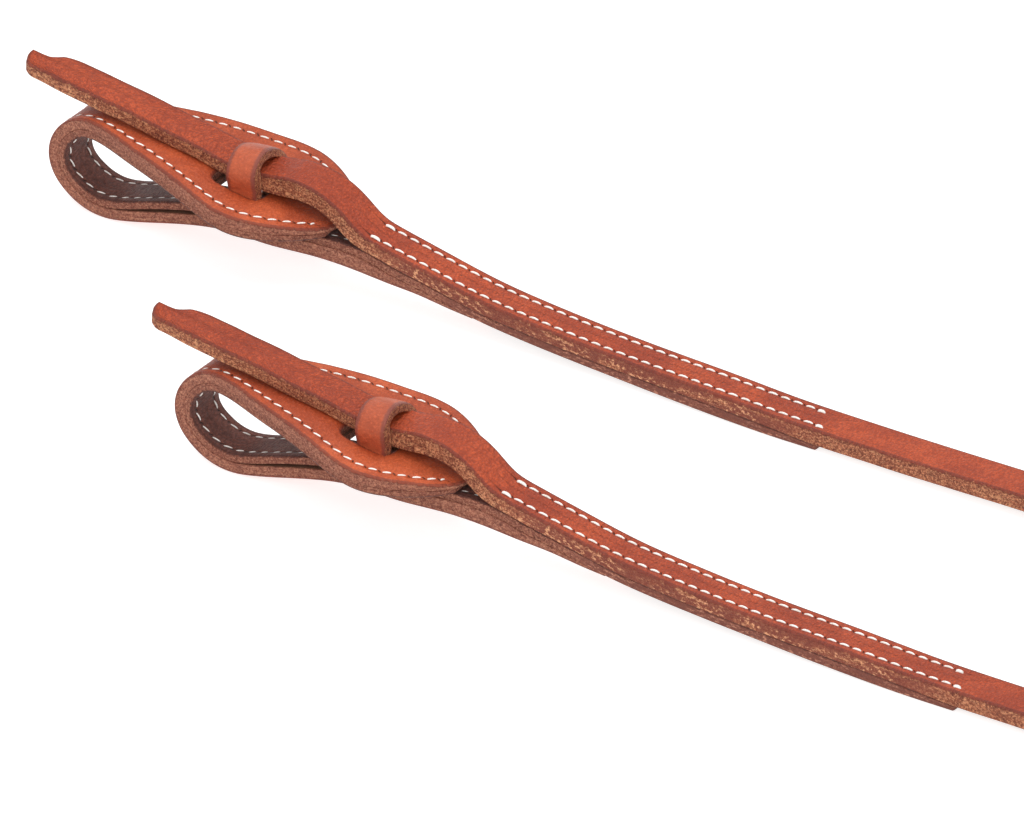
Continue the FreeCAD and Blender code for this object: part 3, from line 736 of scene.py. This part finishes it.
rein_leather = leather("rein_leather", GRAIN, CUT, 0.8, 0.10, polish=(62.0, 226.0))
wound_leather = leather("wound_leather", GRAIN, CUT, 0.8, 0.10)
tongue_leather = leather("tongue_leather", GRAIN, CUT, 1.0, 0.30)
loop_leather = leather("loop_leather", LOOP_GRAIN_WITH_PAINTED_LIGHT, LOOP_CUT, 0.4, 0.12)
lining_leather = leather(
    "lining_leather", LINING_GRAIN_WITH_PAINTED_SHADE, LINING_CUT, 0.8, 0.45, 0.36, LINING_LINE, polish=(-30.0, 150.0),
)
keeper_leather = leather("keeper_leather", KEEPER_GRAIN, CUT, 0.3, 0.05, 0.29, KEEPER_LINE, 1.9)
tie_leather = leather("tie_leather", TIE_GRAIN, CUT)
flesh_side = flesh("flesh_side", (0.30, 0.15, 0.09), (0.15, 0.066, 0.040))
flesh_dark = flesh("flesh_dark", (0.20, 0.10, 0.065), (0.10, 0.046, 0.030))
thread_material = thread("thread")


# ---- grids

def columns(count, ease=0.35):
    """Places across a strap from -1 to 1, closer together at the edges."""
    even = np.linspace(-1, 1, count)
    return (1 - ease) * even + ease * np.sin(even * math.pi / 2)


def strap_grid(strip, half, lift, steps, count=27):
    """Upper and under grids of a strap of even width; lift(s, v) raises both off it."""
    s = np.linspace(0.0, strip.length, steps)
    s_grid = np.repeat(s[:, None], count, axis=1)
    v_grid = np.repeat(columns(count)[None, :] * half, len(s), axis=0)
    return strip.faces(s_grid, v_grid, lift(s_grid, v_grid))


def side_path(strip, start, end, offset, lift=0.0):
    """A stitched row's line on a strap's upper face, at an offset across it that may depend on s."""
    s = np.linspace(start, end, int((end - start) / ROW_STEP) + 1)
    v = offset(s) if callable(offset) else np.full(len(s), offset)
    upper, under = strip.faces(s, v, np.zeros(len(s)))
    out = unit(upper - under)
    return upper + out * lift, out


# ---- pieces of one rein

# How far the grain face falls away at a strap's edges.
EDGE_FALL = 0.12


def sewn_row(strip, sign, lift=0.0):
    """Near (-1) or far (1) row of the sewn section. The far one ends a stitch sooner."""
    end = strip.at_x(SEWN_END) - (STITCH_PITCH if sign > 0 else 0.0)
    return side_path(strip, strip.at_x(SEWN_START), end, sign * ROW_OFFSET, lift)


def make_rein_strap(rein, strip):
    sewn_from, sewn_to = strip.at_x(SEWN_START), strip.at_x(SEWN_END)

    def sag(s, v):
        """Soft leather dips along the stitched rows and falls away at the edges."""
        sewn = np.clip((s - sewn_from + 4) / 6, 0, 1) * np.clip((sewn_to + 5 - s) / 6, 0, 1)
        rows = np.exp(-((np.abs(v) - ROW_OFFSET) / 1.1) ** 2)
        edge = (np.abs(v) / REIN_HALF) ** 6
        return -ROW_DIP * rows * sewn - EDGE_FALL * edge

    upper, under = strap_grid(strip, REIN_HALF - CUT_EDGE_ROUND, sag, int(strip.length / GRID_STEP) + 1)
    rows = [sewn_row(strip, sign)[0] for sign in (-1, 1)]
    piece = slab(
        "rein_strap", rein, upper, under, [rein_leather, flesh_side], "rein_leather", rein,
        also=["rein_tail"], rows=rows, under_round=SEWN_EDGE_ROUND,
    )
    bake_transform(piece)


# Each row's first and last stitch are sewn twice, the second time this far beside the first.
BACK_TACK = np.array([0.5, -0.75, 0.1])


def make_sewn_thread(rein, strip):
    for side, sign in (("near", -1), ("far", 1)):
        holes, directions, size = even_holes(*sewn_row(strip, sign, -ROW_DIP))
        rows = [(holes, directions, size)]
        for tacked in (slice(0, 2), slice(-2, None)):
            rows.append((holes[tacked] + BACK_TACK, directions[tacked], 1.1))
        stitches(f"sewn_thread_{side}", rein, rows)


# Where the tongue's pointed end lies, at places across it: a hooked point, then a slant.
TONGUE_TIP = [
    (-7.3, -3.6), (-6.7, -8.6), (-5.2, -11.0), (-2.8, -12.0), (-0.6, -12.2), (0.4, -9.6), (1.4, -6.2),
    (3.2, -4.2), (5.0, -2.6), (6.2, 0.6), (7.3, 6.5),
]
TONGUE_HALF = 7.5
TONGUE_END = 81.5
# The tongue widens by this much as it comes to the keeper.
TONGUE_WIDENS = 0.45
CURL_HEIGHT = 1.5


def make_tongue(rein, strip):
    half = TONGUE_HALF - CUT_EDGE_ROUND
    v = columns(27) * half
    tip = np.interp(v, *np.array(TONGUE_TIP).T)
    x = TONGUE_END + (tip[None, :] - TONGUE_END) * np.linspace(0, 1, 100)[:, None]
    v_grid = v[None, :] * (1 + np.interp(x, [60.0, 78.0], [0.0, TONGUE_WIDENS]) / half)
    curl = CURL_HEIGHT * np.clip((-x - 5.0) / 7.0, 0, 1) ** 2 * np.exp(-((v_grid + 0.6) / 3.2) ** 2)
    sag = 0.5 * np.clip((62.0 - x) / 20.0, 0, 1) + 0.5 * np.clip((14.0 - x) / 22.0, 0, 1)
    lift = curl - sag - EDGE_FALL * (np.abs(v_grid) / half) ** 6
    upper, under = strip.faces(strip.at_x(x), v_grid, lift)
    piece = slab("tongue", rein, upper, under, [tongue_leather, flesh_side], "rein_leather", rein + 10)
    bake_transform(piece)


# The far half of the loop strap is narrower round the bend than the near half, and fuller at the flap.
FAR_BEND = 0.84
FAR_WING = 1.05
BEND_REACH = 28.0
# Distance past the bend after which the loop strap is its upper arm, and then its flap.
UPPER_ARM = 20.0
FLAP_BEGINS = 50.0


def flap_share(s, turn):
    """0 up to the loop strap's upper arm, 1 from its flap on."""
    return np.clip((s - turn - UPPER_ARM) / (FLAP_BEGINS - UPPER_ARM), 0, 1)


def far_share(s, turn):
    """Width of the far half of the loop strap over that of the near half."""
    bend = np.exp(-((s - turn) / BEND_REACH) ** 2)
    return 1 + (FAR_WING - 1) * flap_share(s, turn) - (1 - FAR_BEND) * bend


def loop_half_width(strip):
    """Half width of the loop strap at each distance along it, and where its lower arm ends."""
    flap = np.array(FLAP_PLAN, float)
    knots = arc_length(flap)
    outline = cubic(knots, flap, np.linspace(0, knots[-1], 2000))
    arm = np.array(ARM_PLAN, float)
    turn = strip.along[strip.upper[:, 0].argmin()]

    def half(s):
        x = strip.read(strip.upper, s)[..., 0]
        flap_half = np.interp(x, outline[:, 0], outline[:, 1])
        arm_half = np.interp(x, arm[:, 0], arm[:, 1])
        share = np.clip((s - turn) / 8 + 0.5, 0, 1)
        return arm_half + (flap_half - arm_half) * share

    return half, turn


SLOT_LEFT, SLOT_RIGHT, SLOT_HALF, SLOT_CORNER = 66.5, 87.4, 12.6, 4.5
SLOT_MIDDLE, SLOT_REACH = (SLOT_LEFT + SLOT_RIGHT) / 2, (SLOT_RIGHT - SLOT_LEFT) / 2


def rounded_rectangle(middle, half, corner, steps):
    """Closed outline with round corners of so many steps, at even distances."""
    points = []
    for turn, side in enumerate(((1, 1), (-1, 1), (-1, -1), (1, -1))):
        centre = np.array(middle) + (np.array(half) - corner) * side
        for step in range(steps + 1):
            angle = math.pi / 2 * (turn + step / steps)
            points.append(centre + corner * np.array([math.cos(angle), math.sin(angle)]))
    closed = np.array(points + points[:1])
    along = arc_length(closed)
    return read_at(np.arange(0, along[-1], OUTLINE_STEP), along, closed)


SLOT_OUTLINE = rounded_rectangle((SLOT_MIDDLE, 0.0), (SLOT_REACH, SLOT_HALF), SLOT_CORNER, 12)


def inside_slot(x, v):
    dx = np.maximum(np.abs(x - SLOT_MIDDLE) - (SLOT_REACH - SLOT_CORNER), 0)
    dv = np.maximum(np.abs(v) - (SLOT_HALF - SLOT_CORNER), 0)
    return np.hypot(dx, dv) < SLOT_CORNER


def any_of_four(flags):
    """Whether any corner is set, for each square of four neighbours in a grid of flags."""
    return flags[:-1, :-1] | flags[1:, :-1] | flags[:-1, 1:] | flags[1:, 1:]


TIP_LENGTH = 14.0
NARROWEST = 0.8


def loop_grid(strip, half, turn, count):
    """Distances along and across for a ply of the loop strap, fitted round the flap's slot."""
    body = np.arange(0.0, strip.length - TIP_LENGTH, 1.0)
    closing = strip.length - TIP_LENGTH * (1 - np.linspace(0, 1, 26)) ** 2
    s = np.concatenate([body, closing[closing <= strip.length - 0.02]])
    share = columns(count, 0.15)
    edge = np.maximum(half(s) - CUT_EDGE_ROUND, NARROWEST)
    s_grid = np.repeat(s[:, None], count, axis=1)
    far = np.where(share > 0, far_share(s, turn)[:, None], 1.0)
    v_grid = share[None, :] * edge[:, None] * far
    x_grid = strip.read(strip.upper, s_grid)[..., 0]
    blocked = inside_slot(x_grid, v_grid) & (s_grid > turn + UPPER_ARM)
    keep = ~any_of_four(blocked)
    # Points with both kept and left-out faces round them are moved onto the slot's outline.
    rim = any_of_four(np.pad(keep, 1)) & any_of_four(np.pad(~keep, 1))
    _, number = nearest(np.stack([x_grid[rim], v_grid[rim]], axis=1), SLOT_OUTLINE)
    target_x, v_grid[rim] = SLOT_OUTLINE[number].T
    upper_arm = strip.along > turn + UPPER_ARM
    s_grid[rim] = np.interp(target_x, strip.upper[upper_arm, 0], strip.along[upper_arm])
    return s_grid, v_grid, keep


def flap_shape(strip, turn):
    """The flap's near wing hangs a little and its slot's rim is pressed in."""
    def lift(s, v):
        x = strip.read(strip.upper, s)[..., 0]
        share = flap_share(s, turn)
        droop = share * np.where(v < 0, -0.4, 1.2) * np.clip(np.abs(v) / 26.8, 0, 1) ** 2
        from_slot, _ = nearest(np.stack([x, v], axis=-1).reshape(-1, 2), SLOT_OUTLINE)
        rim = -0.35 * np.exp(-(from_slot.reshape(x.shape) / 1.6) ** 2) * (share > 0.9)
        return droop + rim
    return lift


ROW_INSET = 3.4
FLAP_ROW_INSET = 4.5


def edge_row(half, turn, sign):
    """Offset across the loop strap of the stitched row that follows its near or far edge."""
    def offset(s):
        inset = ROW_INSET + (FLAP_ROW_INSET - ROW_INSET) * np.clip((s - turn - 25) / 25, 0, 1)
        width = half(s) * (far_share(s, turn) if sign > 0 else 1.0)
        return sign * np.maximum(width - inset, 0.0)
    return offset


# Stitch sizes: those inside the loop are drawn deeper into the soft lining and show less thread.
INSIDE_STITCH = 0.66
FLAP_STITCH = 0.86
LINING_EDGE_ROUND = 0.45
# Where on the lining, x and z, its stitched rows come out from under the rein.
LINING_ROWS_START = (121.0, 19.3)
# Slant of the stitches along the near edge and along the far edge.
EDGE_SLANT = {"near": 0.75, "far": 0.25}


def make_loop_ply(node, rein, strip, leathers, slot, seed, count, face, row, depth, size, edge_round):
    """A ply of the loop strap. Gives the needle holes of its near and its far row.

    face is 1 for the ply whose upper side is the flap's top and -1 for the one under it; row is where
    along the strip its stitches start and end, and depth how far they are drawn in."""
    half, turn = loop_half_width(strip)
    s, v, keep = loop_grid(strip, half, turn, count)
    shape = flap_shape(strip, turn)
    upper, under = strip.faces(s, v, face * shape(s, v))
    rows, holes = [], []
    for sign in (-1, 1):
        offset = edge_row(half, turn, sign)
        path, outs = side_path(strip, *row, offset)
        places = np.linspace(*row, len(path))
        path = path + outs * (face * shape(places, offset(places)) - depth)[:, None]
        rows.append(path)
        holes.append(even_holes(path, outs, size))
    piece = slab(
        node, rein, upper, under, leathers, slot, seed, keep=keep, rows=rows,
        edge_round=edge_round, under_round=SEWN_EDGE_ROUND,
    )
    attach(piece, f"bit_end_{rein}")
    return holes


def make_bit_loop(rein, outer, lining):
    outer_holes = make_loop_ply(
        "bit_loop", rein, outer, [loop_leather, flesh_side], "loop_leather", rein + 20, 45, 1,
        (14.0, outer.length - 5.5), 0.15, FLAP_STITCH, CUT_EDGE_ROUND,
    )
    sewn_end = np.linalg.norm(lining.upper - LINING_ROWS_START, axis=1).argmin()
    lining_holes = make_loop_ply(
        "lining", rein, lining, [lining_leather, flesh_dark], "lining_leather", rein + 30, 39, -1,
        (lining.along[sewn_end], lining.length - 6.0), 0.2, INSIDE_STITCH, LINING_EDGE_ROUND,
    )
    for side, *rows in zip(EDGE_SLANT, outer_holes, lining_holes):
        stitches(f"edge_thread_{side}", rein, rows, EDGE_SLANT[side])


def make_keeper(rein):
    fine = fine_rows(KEEPER)
    outside = fine[:, :2]
    strip = Strip(outside, outside + right_of(outside) * fine[:, 2:])
    half = KEEPER_WIDTH / 2 - 0.5

    def crowned(s, v):
        """The band stands up in its middle and droops at its edges there."""
        crown = np.clip(1 - np.abs(s / strip.length - 0.5) * 3.0, 0, 1)
        return -0.45 * np.abs(v / half) ** 3 * crown + 0.2 * crown

    grids = []
    for points in strap_grid(strip, half, crowned, 120, 17):
        across, off_middle, height = points[..., 0], points[..., 1], points[..., 2]
        raised = np.clip((height - 29.0) / 8.0, 0, 1)
        skew = KEEPER_SKEW * np.clip(across + 12.0, 0, 24) * raised
        x = KEEPER_LEFT + KEEPER_WIDTH / 2 + off_middle - skew
        grids.append(np.stack([x, across, height + KEEPER_RISE * off_middle * raised], axis=-1))
    leathers = [keeper_leather, flesh_side]
    piece = slab("keeper", rein, *grids, leathers, "keeper_leather", rein + 40, edge_round=0.5)
    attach(piece, f"bit_end_{rein}")


def make_keeper_thread(rein):
    """Saddle stitches through the keeper's tabs, seen on the loop strap's underside."""
    rows = []
    for x in (78.0, 84.0):
        holes = np.array([(x, y, 9.85) for y in (-4.6, 0.0, 4.6)])
        rows.append((holes, np.tile([0.0, 0.0, -1.0], (3, 1)), 1.0))
    stitches("keeper_thread", rein, rows, 0.2)


# ---- the wound-up length

# Route of the rein from where it leaves the straight strap until it stands on edge: x, z, roll.
EDGE_TURN = [
    (395.0, 6.375, 0.0), (412.0, 5.9, 8.0), (430.0, 6.6, 25.0), (448.0, 8.1, 45.0), (466.0, 8.8, 65.0),
    (484.0, 9.0, 82.0), (500.0, 9.05, 90.0),
]
# The coil has straight sides and half turns, and its width shrinks by one pitch each half turn.
COIL_START = {1: 510.0, 2: 574.0}
COIL_SIDE = {1: -1, 2: 1}
COIL_RUN = 80.0
COIL_RADIUS = 52.0
COIL_PITCH = 6.0
COIL_Z = 9.05
HALF_TURN_POINTS = 12
# A 7 ft rein, less what lies before the wound-up length.
REIN_LENGTH = 2134.0
BEFORE_CORD = 400.0
CORD_LENGTH = REIN_LENGTH - BEFORE_CORD


def coil_route(rein):
    """Control points of the wound rein: the turn on edge, then half turns and straight sides inwards."""
    route = [(x, 0.0, z) for x, z, _ in EDGE_TURN]
    left, right = COIL_START[rein], COIL_START[rein] + COIL_RUN
    spent = left - EDGE_TURN[0][0]
    outside_of_curve = 2 / (1 + math.cos(math.pi / (2 * HALF_TURN_POINTS)))
    y, half_turn = 0.0, 0
    while spent < CORD_LENGTH:
        radius = COIL_RADIUS - COIL_PITCH / 2 * half_turn
        forwards = half_turn % 2 == 0
        run = min(COIL_RUN, CORD_LENGTH - spent)
        start_x, heading = (left, 1) if forwards else (right, -1)
        for share in (0.15, 0.5, 0.85):
            route.append((start_x + heading * run * share, y, COIL_Z))
        spent += run
        centre_y = y + heading * radius
        arc = min(math.pi, max(0.0, CORD_LENGTH - spent) / radius)
        steps = int(arc / math.pi * HALF_TURN_POINTS)
        for step in range(steps):
            angle = math.pi * (step + 0.5) / HALF_TURN_POINTS
            x = start_x + heading * (COIL_RUN + radius * outside_of_curve * math.sin(angle))
            route.append((x, centre_y - heading * radius * outside_of_curve * math.cos(angle), COIL_Z))
        spent += math.pi * radius
        y += heading * 2 * radius
        half_turn += 1
    return [(x, COIL_SIDE[rein] * y, z) for x, y, z in route]


def route_line(route):
    """Points along the smooth line that a route's NURBS spline makes, in millimetres."""
    curve = bpy.data.curves.new("route", "CURVE")
    curve.dimensions = "3D"
    curve.resolution_u = 12
    line = curve.splines.new("NURBS")
    line.points.add(len(route) - 1)
    for point, place in zip(line.points, route):
        point.co = (*place, 1.0)
    line.order_u = 3
    line.use_endpoint_u = True
    holder = bpy.data.objects.new("route", curve)
    bpy.context.scene.collection.objects.link(holder)
    bpy.context.view_layer.update()
    mesh = bpy.data.meshes.new_from_object(holder)
    points = np.array([v.co for v in mesh.vertices])
    bpy.data.objects.remove(holder)
    bpy.data.curves.remove(curve)
    bpy.data.meshes.remove(mesh)
    return points


def make_free_rein(rein):
    line = route_line(coil_route(rein))
    along = arc_length(line)
    path = read_at(np.arange(0, along[-1], COIL_STEP), along, line)
    tangent = unit(np.gradient(path, axis=0))
    turn_x, _, roll = np.array(EDGE_TURN).T
    wound = np.arange(len(path)) > np.argmax(path[:, 0] > turn_x[-1])
    angle = np.radians(np.where(wound, roll[-1], np.interp(path[:, 0], turn_x, roll)))
    flat_side = unit(np.cross(np.array([0.0, 0.0, 1.0]), tangent))
    up = np.cross(tangent, flat_side)
    across = flat_side * np.cos(angle)[:, None] + up * np.sin(angle)[:, None]
    face = np.cross(tangent, across)
    share = columns(13) * (REIN_HALF - CUT_EDGE_ROUND)
    middle = path[:, None] + across[:, None] * share[None, :, None]
    upper = middle + face[:, None] * REIN_THICK / 2
    under = middle - face[:, None] * REIN_THICK / 2
    piece = slab(
        "free_rein", rein, upper, under, [wound_leather, flesh_side], "rein_leather", rein + 50,
        also=["coil"], wall_noise=0.05,
    )
    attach(piece, f"tail_end_{rein}")
    tie = make_tie(rein)


TIE_CORNER, TIE_THICK, TIE_HALF = 1.6, 0.95, 4.6


def make_tie(rein):
    """A thin leather tie wrapped round the coil's turns, its end stopping just short of its start."""
    low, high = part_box(f"coil_tie_{rein}")
    origin = Vector(rein_origin(rein))
    low, high = (low - origin) / MM, (high - origin) / MM
    middle, half = (low + high) / 2, (high - low) / 2
    outline = rounded_rectangle(middle.yz, half.yz, TIE_CORNER, 6)[::4]
    outline = np.concatenate([outline, outline[:1]])
    outline[-1] += (outline[-2] - outline[-1]) * 0.3
    strip = Strip(outline, outline - right_of(outline) * TIE_THICK)
    grids = []
    for points in strap_grid(strip, TIE_HALF, lambda s, v: np.zeros_like(v), 150, 11):
        grids.append(np.stack([middle.x + points[..., 1], points[..., 0], points[..., 2]], axis=-1))
    piece = slab(
        "coil_tie", rein, *grids, [tie_leather, flesh_dark], "tie_leather", rein + 60,
        wall_noise=0.03, edge_round=0.3,
    )
    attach(piece, f"tail_end_{rein}")
    return piece


# ---- room and lights

def make_room():
    bpy.ops.mesh.primitive_plane_add(size=8.0, location=(0, 0, -0.0002))
    floor = bpy.context.object
    floor.name = "floor"
    paint = Nodes("floor_paint")
    texture = paint.bump(paint.noise(paint.place(), 0.01), 0.01)
    paint.put(paint.shader.inputs["Emission Color"], (1.0, 1.0, 1.0))
    paint.put(paint.shader.inputs["Emission Strength"], 0.75)
    floor.data.materials.append(paint.finish((0.50, 0.50, 0.50), 0.9, texture, 0.1))
    world = bpy.data.worlds.new("studio")
    world.use_nodes = True
    background = world.node_tree.nodes["Background"].inputs
    background["Color"].default_value = (1.0, 1.0, 1.0, 1.0)
    background["Strength"].default_value = 0.6
    bpy.context.scene.world = world
    bpy.context.scene.view_settings.view_transform = "Standard"


def softbox(name, place, size, power):
    """A square area light that shines at the frame's origin."""
    data = bpy.data.lights.new(name, "AREA")
    data.shape = "SQUARE"
    data.size = size
    data.energy = power
    lamp = bpy.data.objects.new(name, data)
    lamp.location = place
    lamp.rotation_euler = (-Vector(place)).to_track_quat("-Z", "Y").to_euler()
    bpy.context.scene.collection.objects.link(lamp)


def make_lights():
    softbox("overhead", (-0.15, 0.25, 1.5), 1.6, 18.0)
    softbox("front", (0.9, -1.7, 1.2), 1.4, 21.0)
    softbox("left", (-1.6, -0.3, 0.8), 1.2, 2.0)


def make_rein(rein):
    strap, tongue = pair_strip(REIN_STRAP), pair_strip(TONGUE)
    outer, lining = loop_strips()
    make_free_rein(rein)
    make_rein_strap(rein, strap)
    make_sewn_thread(rein, strap)
    make_tongue(rein, tongue)
    make_bit_loop(rein, outer, lining)
    make_keeper(rein)
    make_keeper_thread(rein)


make_camera()
make_rein(1)
make_rein(2)
make_room()
make_lights()
